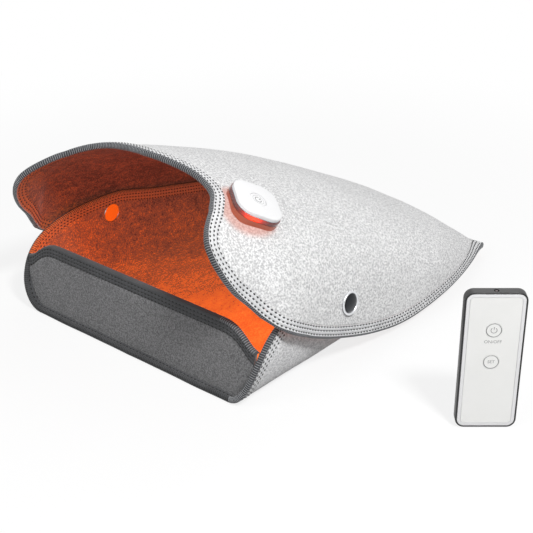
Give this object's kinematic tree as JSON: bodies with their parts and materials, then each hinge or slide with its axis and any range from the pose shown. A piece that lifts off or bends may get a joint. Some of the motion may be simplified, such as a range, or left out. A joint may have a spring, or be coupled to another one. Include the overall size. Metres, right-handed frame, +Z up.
{
  "type": "under desk foot warmer with heated felt panels",
  "caption": "Foldable felt foot warmer: bound trough, arched cover on a rear fold with side snaps, round-cornered controller on the shoulder and a slim remote beside it.",
  "frame": {"origin": "middle of the trough's flat underside, at floor height", "axes": "+Z up, the mouth faces -Y, the rear fold lies along X at +Y, +X is the controller's side"},
  "size_m": [0.5542, 0.4641, 0.2109],
  "materials": {
    "felt_light": "light grey speckled felt",
    "felt_dark": "dark grey felt",
    "lining_red": "short brick red pile",
    "heater_film": "thin polyester film with printed tracks",
    "binding_light": "light grey bias strip with dark stitching",
    "binding_dark": "dark grey bias strip with stitching",
    "stiffener": "plain board",
    "chrome": "polished",
    "snap_orange": "smooth enamel",
    "steel": "plain",
    "white_plastic": "satin",
    "smoke_plastic": "dark, slightly clear",
    "light_lens": "clear red",
    "board_green": "solder mask",
    "black_plastic": "fine grain",
    "grey_overlay": "satin printed film",
    "lead_black": "flat lead"
  },
  "bodies": {
    "base": {"base_outer_felt": "felt_light", "base_heater_film": "heater_film", "base_lining": "lining_red", "base_edge_binding": "binding_light", "front_wall_felt": "felt_dark", "front_wall_board": "stiffener", "front_wall_lining": "lining_red", "front_wall_binding": "binding_dark", "rear_fold": "felt_light", "rear_fold_lead": "lead_black", "base_cutout": "black_plastic", "remote_back_shell": "black_plastic", "remote_face": "white_plastic", "remote_overlay": "grey_overlay", "remote_power_dome": "steel", "remote_set_dome": "steel", "remote_board": "board_green", "remote_emitter": "light_lens", "remote_cell": "steel", "remote_cell_holder": "black_plastic", "remote_cell_contact": "steel", "right_snap_back": "snap_orange", "right_snap_stud": "chrome", "left_snap_back": "snap_orange", "left_snap_stud": "chrome"},
    "cover": {"cover_outer_felt": "felt_light", "cover_heater_film": "heater_film", "cover_lining": "lining_red", "cover_edge_binding": "binding_light", "right_snap_cap": "chrome", "right_snap_socket": "steel", "left_snap_cap": "chrome", "left_snap_socket": "steel", "controller_pan": "smoke_plastic", "controller_light_ring": "smoke_plastic", "controller_cap": "white_plastic", "controller_board": "board_green", "button_switch": "black_plastic", "status_lamp": "light_lens", "remote_receiver": "black_plastic", "power_inlet": "steel", "controller_lead": "lead_black", "clamp_plate": "black_plastic", "clamp_screw_1": "steel", "clamp_screw_2": "steel", "cover_cutout": "black_plastic"},
    "controller_button": {"power_button": "white_plastic"},
    "power_key": {"remote_power_key": "grey_overlay"},
    "set_key": {"remote_set_key": "grey_overlay"},
    "battery_door": {"remote_battery_door": "black_plastic"}
  },
  "joints": [
    {"name": "cover_hinge", "type": "hinge", "parent": "base", "child": "cover", "pos_m": [0, 0.2203, 0.0072], "axis": [-1, 0, 0], "range_deg": [0, 110], "deforming": ["rear_fold", "rear_fold_lead"]},
    {"name": "power_button_press", "type": "slide", "parent": "cover", "child": "controller_button", "axis": [-0.4863, -0.2437, -0.8391], "range_m": [0, 0.0006], "stiffness_N_per_m": 1500},
    {"name": "remote_power_press", "type": "slide", "parent": "base", "child": "power_key", "axis": [-0.6508, 0.7593, 0], "range_m": [0, 0.0004], "stiffness_N_per_m": 1500},
    {"name": "remote_set_press", "type": "slide", "parent": "base", "child": "set_key", "axis": [-0.6508, 0.7593, 0], "range_m": [0, 0.0004], "stiffness_N_per_m": 1500},
    {"name": "battery_door_turn", "type": "hinge", "parent": "base", "child": "battery_door", "pos_m": [0.3405, -0.0894, 0.034], "axis": [0.6508, -0.7593, 0], "range_deg": [0, 60]}
  ]
}
